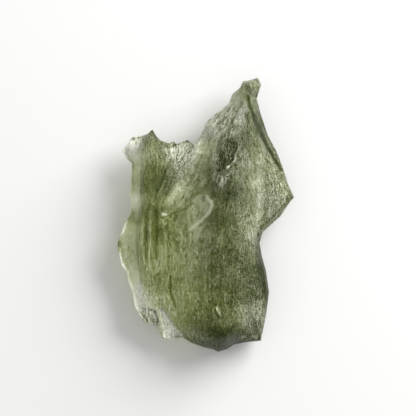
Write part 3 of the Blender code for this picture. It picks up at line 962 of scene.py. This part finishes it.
@dataclass(frozen=True)
class EtchedGlass:
    """Moldavite: natural silica glass, cast from a melt in flight and then etched for ages in the ground.

    Its broken and flowed faces are satin, its etched ones are frosted by pits finer than a tenth of a
    millimetre, and the glass swallows blue most and green least, so thin edges are clear and thick
    glass is olive. Two surfaces are mixed: glass that light passes through, and ground glass that
    scatters it. Each tone below has its colour on both.
    """

    name: str = "moldavite_etched_natural_glass"
    ior: float = 1.49
    passed: str = "#B6C22A"
    density_per_mm: float = 0.13
    transmission: float = 1.0
    satin_roughness: float = 0.29
    frost_roughness: float = 0.45
    haze_roughness: float = 0.6
    shine: float = 0.3
    shine_colour: str = "#8F9A60"
    # The real frosting is too fine to show, so its grain is drawn as coarse as a pixel of the render, and
    # its specks a little over half of that
    grain_mm: float = 0.12
    grain_stretch: float = 5.5
    grain_detail: float = 1.5
    grain_height_mm: float = 0.016
    speck_mm: float = 0.07
    # How far grain and specks swing the tone, and how strong the bump is, from least to most etched
    swing_zone: tuple[float, float] = (0.4, 1.0)
    grain_swings: tuple[float, float] = (2.5, 6.0)
    speck_swings: tuple[float, float] = (6.0, 9.0)
    bump_strengths: tuple[float, float] = (0.3, 1.0)
    # The glass, the ground glass where it is smooth, and the ground glass where it is etched
    glass_tones: tuple = (
        (-2.0, "#343A1E"),
        (-1.0, "#78864E"),
        (0.0, "#C3CB96"),
        (1.0, "#F6FCD2"),
        (2.0, "#FFFFFF"),
    )
    haze_tones: tuple = (
        (-2.0, "#23290F"),
        (-1.0, "#434C24"),
        (0.0, "#828C48"),
        (1.0, "#B6BF6E"),
        (1.6, "#C9D18E"),
        (2.3, "#E6EBC8"),
    )
    frost_tones: tuple = (
        (-2.0, "#262B18"),
        (-1.0, "#495030"),
        (0.0, "#868C6C"),
        (1.0, "#B2B5A2"),
        (1.6, "#CCCFBC"),
        (2.3, "#FBFBEC"),
    )
    frost_colour_zone: tuple[float, float] = (0.0, 0.6)
    # The share of ground glass: what pale tones, white tones and etching each add at most
    pale_zone: tuple[float, float] = (-0.3, 1.0)
    pale_haze: float = 0.18
    white_zone: tuple[float, float] = (1.1, 2.1)
    white_haze: float = 0.72
    etched_zone: tuple[float, float] = (0.1, 0.7)
    etched_haze: float = 0.65

    def strokes(self, tree: bpy.types.NodeTree) -> bpy.types.NodeSocket:
        """Draw fine grain along the flow: one noise for each leaning, each where the flow leans that way.

        Args:
            tree: The material's node tree.

        Returns:
            The grain, mostly from 0.3 to 0.7.
        """
        place = add_node(tree, "ShaderNodeTexCoord").outputs["Object"]
        lean = add_node(tree, "ShaderNodeAttribute", attribute_name="lean").outputs["Fac"]
        across = 1 / (self.grain_mm * MM)
        stretch = (across, across / self.grain_stretch, across / self.grain_stretch)
        fitting = dict(zip(RANGE, (0.0, LEAN_STEP, 1.0, 0.0)))
        total = None
        for angle in LEANINGS:
            turned = add_node(
                tree, "ShaderNodeVectorRotate", {"Angle": -angle}, {"Vector": place}, rotation_type="Z_AXIS"
            ).outputs["Vector"]
            drawn = add_node(
                tree, "ShaderNodeVectorMath", {1: stretch}, {0: turned}, operation="MULTIPLY"
            ).outputs["Vector"]
            noise = add_node(
                tree, "ShaderNodeTexNoise", {"Scale": 1.0, "Detail": self.grain_detail}, {"Vector": drawn}
            ).outputs["Fac"]
            off = add_node(tree, "ShaderNodeMath", {1: angle}, {0: lean}, operation="SUBTRACT").outputs[0]
            off = add_node(tree, "ShaderNodeMath", None, {0: off}, operation="ABSOLUTE").outputs[0]
            share = add_node(tree, "ShaderNodeMapRange", fitting, {"Value": off}).outputs["Result"]
            links = {0: noise, 1: share}
            if total is not None:
                links[2] = total
            total = add_node(tree, "ShaderNodeMath", {2: 0.0}, links, operation="MULTIPLY_ADD").outputs[0]
        return total

    def mottled(
        self, tree: bpy.types.NodeTree, etched: bpy.types.NodeSocket, grain: bpy.types.NodeSocket
    ) -> bpy.types.NodeSocket:
        """Take the stone's tone and swing it by grain and specks, more where it is etched.

        Args:
            tree: The material's node tree.
            etched: How etched a point is.
            grain: The grain there.

        Returns:
            The tone.
        """
        specks = add_node(
            tree,
            "ShaderNodeTexNoise",
            {"Scale": 1 / (self.speck_mm * MM), "Detail": 0.0},
            {"Vector": add_node(tree, "ShaderNodeTexCoord").outputs["Object"]},
        ).outputs["Fac"]
        tone = add_node(tree, "ShaderNodeAttribute", attribute_name="tone").outputs["Fac"]
        for noise, swings in ((grain, self.grain_swings), (specks, self.speck_swings)):
            settings = dict(zip(RANGE, (*self.swing_zone, *swings)))
            swing = add_node(tree, "ShaderNodeMapRange", settings, {"Value": etched}).outputs["Result"]
            off = add_node(
                tree, "ShaderNodeMath", {1: NOISE_MIDDLE}, {0: noise}, operation="SUBTRACT"
            ).outputs[0]
            tone = add_node(
                tree, "ShaderNodeMath", None, {0: off, 1: swing, 2: tone}, operation="MULTIPLY_ADD"
            ).outputs[0]
        return tone

    def haze(
        self, tree: bpy.types.NodeTree, tone: bpy.types.NodeSocket, etched: bpy.types.NodeSocket
    ) -> bpy.types.NodeSocket:
        """Work out how much of the surface is ground glass: the sum of three ranges, each held at its ends.

        Args:
            tree: The material's node tree.
            tone: The tone at a point.
            etched: How etched it is.

        Returns:
            The share, which the shader mix holds at 1.
        """
        total = None
        for value, zone, most in (
            (tone, self.pale_zone, self.pale_haze),
            (tone, self.white_zone, self.white_haze),
            (etched, self.etched_zone, self.etched_haze),
        ):
            settings = dict(zip(RANGE, (*zone, 0.0, most)))
            part = add_node(tree, "ShaderNodeMapRange", settings, {"Value": value}).outputs["Result"]
            settings = {1: 0.0}
            links = {0: part} if total is None else {0: total, 1: part}
            total = add_node(tree, "ShaderNodeMath", settings, links, operation="ADD").outputs[0]
        return total

    @staticmethod
    def ramp(
        tree: bpy.types.NodeTree, tone: bpy.types.NodeSocket, stops: tuple[tuple[float, str], ...]
    ) -> bpy.types.NodeSocket:
        """Blend from colour to colour as the tone rises.

        Args:
            tree: The material's node tree.
            tone: The tone at a point.
            stops: A tone and the colour there, from the lowest tone up.

        Returns:
            The colour.
        """
        colour = None
        for (start, first), (end, second) in zip(stops[:-1], stops[1:]):
            settings = dict(zip(RANGE, (start, end, 0.0, 1.0)))
            share = add_node(tree, "ShaderNodeMapRange", settings, {"Value": tone}).outputs["Result"]
            settings = {6: to_linear(first), 7: to_linear(second)}
            links = {0: share} if colour is None else {0: share, 6: colour}
            colour = add_node(tree, "ShaderNodeMix", settings, links, data_type="RGBA").outputs[2]
        return colour

    def material(self) -> bpy.types.Material:
        """Make the glass: its colour is in the volume, and frost and the painted shade of its grooves lie on
        its surface.

        Returns:
            The material.
        """
        material = bpy.data.materials.new(self.name)
        material.use_nodes = True
        tree = material.node_tree
        tree.nodes.clear()
        etched = add_node(tree, "ShaderNodeAttribute", attribute_name="etched").outputs["Fac"]
        grain = self.strokes(tree)
        tone = self.mottled(tree, etched, grain)

        settings = dict(zip(RANGE, (0.0, 1.0, *self.bump_strengths)))
        strength = add_node(tree, "ShaderNodeMapRange", settings, {"Value": etched}).outputs["Result"]
        bump = add_node(
            tree,
            "ShaderNodeBump",
            {"Distance": self.grain_height_mm * MM},
            {"Height": grain, "Strength": strength},
        ).outputs["Normal"]
        settings = dict(zip(RANGE, (0.0, 1.0, self.satin_roughness, self.frost_roughness)))
        roughness = add_node(tree, "ShaderNodeMapRange", settings, {"Value": etched}).outputs["Result"]
        plain = {"Metallic": 0.0, "IOR": self.ior, "Specular IOR Level": self.shine}
        plain["Specular Tint"] = to_linear(self.shine_colour)
        glass = add_node(
            tree,
            "ShaderNodeBsdfPrincipled",
            {**plain, "Transmission Weight": self.transmission},
            {"Base Color": self.ramp(tree, tone, self.glass_tones), "Roughness": roughness, "Normal": bump},
        )

        settings = dict(zip(RANGE, (*self.frost_colour_zone, 0.0, 1.0)))
        frosted = add_node(tree, "ShaderNodeMapRange", settings, {"Value": etched}).outputs["Result"]
        smooth_colour = self.ramp(tree, tone, self.haze_tones)
        frost_colour = self.ramp(tree, tone, self.frost_tones)
        links = {0: frosted, 6: smooth_colour, 7: frost_colour}
        pale = add_node(tree, "ShaderNodeMix", None, links, data_type="RGBA").outputs[2]
        ground_glass = add_node(
            tree,
            "ShaderNodeBsdfPrincipled",
            {**plain, "Roughness": self.haze_roughness},
            {"Base Color": pale, "Normal": bump},
        )

        links = {0: self.haze(tree, tone, etched), 1: glass.outputs["BSDF"], 2: ground_glass.outputs["BSDF"]}
        surface = add_node(tree, "ShaderNodeMixShader", None, links).outputs[0]
        settings = {"Color": to_linear(self.passed), "Density": self.density_per_mm / MM}
        volume = add_node(tree, "ShaderNodeVolumeAbsorption", settings).outputs["Volume"]
        add_node(tree, "ShaderNodeOutputMaterial", None, {"Surface": surface, "Volume": volume})
        return material


@dataclass
class Stone:
    """The moldavite: its real size, the fineness of its mesh and what is cut into it.

    Lengths are in millimetres. Insets are shares of the glass left at the edge, and u and v are shares of
    the way across and along the stone.
    """

    node: str = "moldavite"
    piece: str = "moldavite_dressed"
    width: float = 20.6
    length: float = 32.0
    cells_across: int = 176
    cells_along: int = 246
    cells_up: int = 8
    top_inset: float = 0.12
    bottom_inset: float = 0.32
    widest_share: float = 0.55
    rim_spots: int = 14
    rim_decimals: int = 3
    rim_fade: float = 0.12
    least_glass: float = 0.4
    thin_zone: tuple[float, float] = (0.4, 3.0)
    thin_relief: float = 0.3
    crease_cells: int = 2
    crease_mm: float = 0.035
    # Painted highlight on crests and painted shade in creases
    crest_highlight_tone: float = 0.35
    crease_shade_tone: float = 0.7
    most_tone: float = 2.5
    weathering: Weathering = field(default_factory=Weathering)
    finish: EtchedGlass = field(default_factory=EtchedGlass)

    def stretches(self) -> list[np.ndarray]:
        """The outline's four stretches, scaled and centred so that their box has the stone's size.

        Returns:
            The top, right, bottom and left stretch.
        """
        edges = [np.array(edge, float) for edge in (TOP_EDGE, RIGHT_EDGE, BOTTOM_EDGE, LEFT_EDGE)]
        plan = np.concatenate(edges)[:, :2]
        low = plan.min(axis=0)
        high = plan.max(axis=0)
        for edge in edges:
            edge[:, :2] = (edge[:, :2] - (low + high) / 2) * [self.width, self.length] / (high - low)
        return edges

    @staticmethod
    def along(edge: np.ndarray, share: np.ndarray) -> np.ndarray:
        """Go along a stretch, by straight runs between its points.

        Args:
            edge: The stretch.
            share: Shares of its length.

        Returns:
            x, y and edge glass at each share.
        """
        steps = np.hypot(*np.diff(edge[:, :2], axis=0).T)
        run = np.concatenate([[0.0], np.cumsum(steps)]) / steps.sum()
        return np.stack([np.interp(share, run, column) for column in edge.T], axis=-1)

    def inset_along(self, edge: np.ndarray, share: np.ndarray, inset: float) -> np.ndarray:
        """Go along a stretch, moved towards the middle by the inset times the glass left there.

        Args:
            edge: The stretch.
            share: Shares of its length.
            inset: How far it stands in, as a share of the glass.

        Returns:
            x, y and edge glass at each share.
        """
        points = self.along(edge, share)
        reach = np.linalg.norm(points[..., :2], axis=-1, keepdims=True)
        points[..., :2] -= inset * points[..., 2:3] * points[..., :2] / reach
        return points

    def patch(self, u: np.ndarray, v: np.ndarray, inset: float) -> np.ndarray:
        """The plan: the two ruled surfaces between opposite stretches, less the one between corners.

        Args:
            u: Shares across, from the left stretch to the right one.
            v: Shares along, from the bottom stretch to the top one.
            inset: How far the stretches stand in, as a share of the glass left at them.

        Returns:
            x, y and edge glass for each u and v.
        """
        top, right, bottom, left = self.stretches()
        across = u[..., None]
        up = v[..., None]
        ruled_up = (1 - up) * self.inset_along(bottom, u, inset) + up * self.inset_along(top, u, inset)
        ruled_across = (1 - across) * self.inset_along(left, v, inset)
        ruled_across = ruled_across + across * self.inset_along(right, 1 - v, inset)
        ends = np.array([0.0, 1.0])
        low = self.inset_along(bottom, ends, inset)
        high = self.inset_along(top, ends, inset)
        corners = (1 - across) * (1 - up) * low[0] + across * (1 - up) * low[1]
        corners = corners + (1 - across) * up * high[0] + across * up * high[1]
        return ruled_up + ruled_across - corners

    def inside(self, u: np.ndarray, v: np.ndarray) -> np.ndarray:
        """Rise from 0 on the rim to 1 inside it, by 16 times u times 1 less u times v times 1 less v."""
        return smooth_step(16 * u * (1 - u) * v * (1 - v), 0.0, self.rim_fade)

    def underside(self, x: np.ndarray, y: np.ndarray) -> np.ndarray:
        """Height of the underside's plain surface over the table."""
        return BendingSurface(np.array(UNDERSIDE_SPOTS)).values(x, y)[..., 0]

    def lower_face(self, u: np.ndarray, v: np.ndarray) -> np.ndarray:
        """Points of the underside, which levels off flat at the resting plane.

        Args:
            u: Shares across.
            v: Shares along.

        Returns:
            x, y and z for each u and v.
        """
        points = self.patch(u, v, self.bottom_inset)
        x, y = points[..., 0], points[..., 1]
        relief = self.weathering.lower(x, y) * self.inside(u, v)
        points[..., 2] = above_table(self.underside(x, y) + relief)
        return points

    def glass(self, x: np.ndarray, y: np.ndarray) -> tuple[np.ndarray, np.ndarray, np.ndarray]:
        """Glass, tone and etching through the spots and the rim, with every mark cut in.

        Args:
            x: First coordinates.
            y: Second coordinates.

        Returns:
            How thick the glass is, its tone and how etched it is.
        """
        shares = np.linspace(0, 1, self.rim_spots)
        rim = np.concatenate([self.along(edge, shares) for edge in self.stretches()])
        rim = np.unique(np.round(rim, self.rim_decimals), axis=0)
        spots = np.array(GLASS_SPOTS)
        thickness = BendingSurface(np.concatenate([spots[:, :3], rim])).values(x, y)[..., 0]
        tone, etched = np.moveaxis(BendingSurface(np.delete(spots, 2, axis=1)).values(x, y), -1, 0)
        for mark in UPPER_MARKS:
            depth, pale, etch = mark.cut(x, y)
            thickness = thickness - depth
            tone = tone + pale
            etched = etched + etch
        return thickness, tone, np.clip(etched, 0, 1)

    def upper_face(self, u: np.ndarray, v: np.ndarray) -> tuple[np.ndarray, dict[str, np.ndarray]]:
        """Points of the upper face: the underside plus the glass and its fine relief.

        The relief is fainter in thin glass. Crests get a painted highlight and creases painted shade, by the
        hyperbolic tangent of the height over the mean height nearby.

        Args:
            u: Shares across.
            v: Shares along.

        Returns:
            x, y and z for each u and v, and the tone and the etching there.
        """
        points = self.patch(u, v, self.top_inset)
        x, y, edge_glass = np.moveaxis(points, -1, 0).copy()
        thickness, tone, etched = self.glass(x, y)
        relief, lines = self.weathering.upper(x, y, etched)
        fade = self.inside(u, v)
        thick = smooth_step(thickness, *self.thin_zone)
        relief = relief * fade * (self.thin_relief + (1 - self.thin_relief) * thick)
        thickness = np.maximum(thickness + relief, self.least_glass)
        on_rim = (u <= 0) | (u >= 1) | (v <= 0) | (v >= 1)
        top = above_table(self.underside(x, y)) + np.where(on_rim, edge_glass, thickness)
        points[..., 2] = top
        # Painted highlight and shade: crests paler and creases darker than the mean height nearby
        crease = np.tanh((top - blurred(top, self.crease_cells)) / self.crease_mm) * fade
        tone = tone + lines + crease * np.where(crease > 0, self.crest_highlight_tone, self.crease_shade_tone)
        return points, {"tone": np.clip(tone, -self.most_tone, self.most_tone), "etched": etched}

    def wall(self, u: np.ndarray, v: np.ndarray, low: np.ndarray, high: np.ndarray) -> np.ndarray:
        """The broken edge between the two rims: it stands out to the full outline part of the way up.

        From either rim it nears the outline by one less the square of the share of the way that is left.

        Args:
            u: Shares across of the rim's points.
            v: Shares along of them.
            low: The lower rim.
            high: The upper rim.

        Returns:
            Rings of points from just above the lower rim to just below the upper one.
        """
        outer = self.patch(u, v, 0.0)
        rings = []
        for ring in range(1, self.cells_up):
            share = ring / self.cells_up
            if share < self.widest_share:
                nearness = 1 - ((self.widest_share - share) / self.widest_share) ** 2
                start = low
            else:
                nearness = 1 - ((share - self.widest_share) / (1 - self.widest_share)) ** 2
                start = high
            points = start + (outer - start) * nearness
            points[:, 2] = low[:, 2] + (high[:, 2] - low[:, 2]) * share
            rings.append(points)
        return np.array(rings)

    def build(self) -> bpy.types.Object:
        """Join the two faces and the wall in one closed mesh.

        Returns:
            The stone.
        """
        across = self.cells_across + 1
        along = self.cells_along + 1
        u, v = np.meshgrid(np.linspace(0, 1, across), np.linspace(0, 1, along))
        low = self.lower_face(u, v)
        high, looks = self.upper_face(u, v)
        low_points = low.reshape(-1, 3)
        high_points = high.reshape(-1, 3)

        count = across * along
        grid = np.arange(count).reshape(along, across)
        loop = np.concatenate([grid[0, :-1], grid[:-1, -1], grid[-1, :0:-1], grid[:0:-1, 0]])
        rings = self.wall(u.ravel()[loop], v.ravel()[loop], low_points[loop], high_points[loop])
        points = np.concatenate([low_points, high_points, rings.reshape(-1, 3)])
        ring_ids = 2 * count + np.arange(len(rings) * len(loop)).reshape(len(rings), len(loop))
        rows = np.concatenate([loop[None], ring_ids, loop[None] + count])
        after = np.roll(rows, -1, axis=1)
        lower_faces = quads(grid[:-1, :-1], grid[1:, :-1], grid[1:, 1:], grid[:-1, 1:])
        upper_faces = quads(grid[:-1, :-1], grid[:-1, 1:], grid[1:, 1:], grid[1:, :-1]) + count
        wall_faces = quads(rows[:-1], after[:-1], after[1:], rows[1:])
        faces = np.concatenate([lower_faces, upper_faces, wall_faces])

        below = {"tone": looks["tone"], "etched": np.zeros_like(u)}
        values = {}
        for name, above in looks.items():
            around = np.tile(above.ravel()[loop], len(rings))
            values[name] = np.concatenate([below[name].ravel(), above.ravel(), around])
        values["lean"] = self.weathering.lean(points[:, 0], points[:, 1])
        stone = bpy.data.objects.new(self.piece, self.write_mesh(points * MM, faces, values))
        bpy.context.scene.collection.objects.link(stone)
        return stone

    def write_mesh(
        self, points: np.ndarray, faces: np.ndarray, values: dict[str, np.ndarray]
    ) -> bpy.types.Mesh:
        """Write points and four-sided faces into a mesh, smooth all over, with what its material reads.

        Args:
            points: Places in metres.
            faces: Four point numbers for each face.
            values: For each attribute's name, a number at every point.

        Returns:
            The mesh.
        """
        mesh = bpy.data.meshes.new(self.piece)
        mesh.vertices.add(len(points))
        mesh.vertices.foreach_set("co", points.astype(np.float32).ravel())
        mesh.loops.add(faces.size)
        mesh.loops.foreach_set("vertex_index", faces.astype(np.int32).ravel())
        mesh.polygons.add(len(faces))
        mesh.polygons.foreach_set("loop_start", np.arange(0, faces.size, 4, dtype=np.int32))
        mesh.update(calc_edges=True)
        mesh.shade_smooth()
        for name, numbers in values.items():
            layer = mesh.attributes.new(name, "FLOAT", "POINT")
            layer.data.foreach_set("value", numbers.astype(np.float32))
        return mesh

    def dress(self, stone: bpy.types.Object) -> None:
        """Give the stone its glass, hang it on the root body and hide the part it stands for.

        Args:
            stone: The stone, as built.
        """
        stone.data.materials.append(self.finish.material())
        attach(stone, "root")
        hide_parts(self.node)
        LOG.info("%s: %d faces", stone.name, len(stone.data.polygons))


@dataclass
class Studio:
    """A white table, a big soft light at the upper right and a camera that looks straight down.

    Lengths are in millimetres, angles in degrees and the light's power in watts.
    """

    frame_width: float = 48.9
    view_centre: tuple[float, float] = (0.26, 0.82)
    camera_height: float = 450.0
    sensor: float = 36.0
    nearest: float = 10.0
    farthest: float = 20000.0
    floor_side: float = 3000.0
    floor_gap: float = 0.02
    floor_colour: str = "#F4F4F3"
    sky_colour: str = "#FFFFFF"
    sky_strength: float = 0.51
    key_side: float = 250.0
    key_distance: float = 340.0
    key_height_deg: float = 30.0
    key_turn_deg: float = 42.0
    key_power: float = 1.56

    def build(self) -> None:
        """Set out the floor, the lights, the sky and the camera."""
        self.floor()
        self.key_light()
        self.sky()
        self.camera()
        bpy.context.scene.view_settings.view_transform = "Standard"

    def floor(self) -> None:
        """A matt white table top just below the stone."""
        half = self.floor_side / 2 * MM
        level = -self.floor_gap * MM
        mesh = bpy.data.meshes.new("table_top")
        corners = [(-half, -half, level), (half, -half, level), (half, half, level), (-half, half, level)]
        mesh.from_pydata(corners, [], [(0, 1, 2, 3)])
        mesh.materials.append(self.board())
        top = bpy.data.objects.new("table_top", mesh)
        bpy.context.scene.collection.objects.link(top)

    def board(self) -> bpy.types.Material:
        """Matt white painted board: it scatters light evenly, so it shows soft shadows and mirrors nothing.

        Returns:
            The material.
        """
        material = bpy.data.materials.new("matt_white_board")
        material.use_nodes = True
        shader = material.node_tree.nodes["Principled BSDF"]
        shader.inputs["Base Color"].default_value = to_linear(self.floor_colour)
        shader.inputs["Roughness"].default_value = 1.0
        shader.inputs["Specular IOR Level"].default_value = 0.0
        return material

    def key_light(self) -> None:
        """One large soft box, up and to the right."""
        light = bpy.data.lights.new("soft_box", "AREA")
        light.shape = "SQUARE"
        light.size = self.key_side * MM
        light.energy = self.key_power
        lamp = bpy.data.objects.new("soft_box", light)
        height = math.radians(self.key_height_deg)
        turn = math.radians(self.key_turn_deg)
        reach = self.key_distance * MM
        lamp.location = (
            reach * math.cos(height) * math.cos(turn),
            reach * math.cos(height) * math.sin(turn),
            reach * math.sin(height),
        )
        lamp.rotation_euler = lamp.location.to_track_quat("Z", "Y").to_euler()
        lamp.visible_camera = False
        bpy.context.scene.collection.objects.link(lamp)

    def sky(self) -> None:
        """An even pale surround."""
        world = bpy.data.worlds.new("pale_room")
        world.use_nodes = True
        background = world.node_tree.nodes["Background"]
        background.inputs["Color"].default_value = to_linear(self.sky_colour)
        background.inputs["Strength"].default_value = self.sky_strength
        bpy.context.scene.world = world

    def camera(self) -> None:
        """A long lens straight above the stone, with the beak at the top of the frame."""
        data = bpy.data.cameras.new("overhead")
        data.sensor_width = self.sensor
        data.lens = self.sensor * self.camera_height / self.frame_width
        data.clip_start = self.nearest * MM
        data.clip_end = self.farthest * MM
        camera = bpy.data.objects.new("overhead", data)
        camera.location = (self.view_centre[0] * MM, self.view_centre[1] * MM, self.camera_height * MM)
        bpy.context.scene.collection.objects.link(camera)
        bpy.context.scene.camera = camera


def main() -> None:
    """Build the stone, dress it and set it in its light."""
    stone = Stone()
    stone.dress(stone.build())
    Studio().build()


if __name__ == "__main__":
    main()
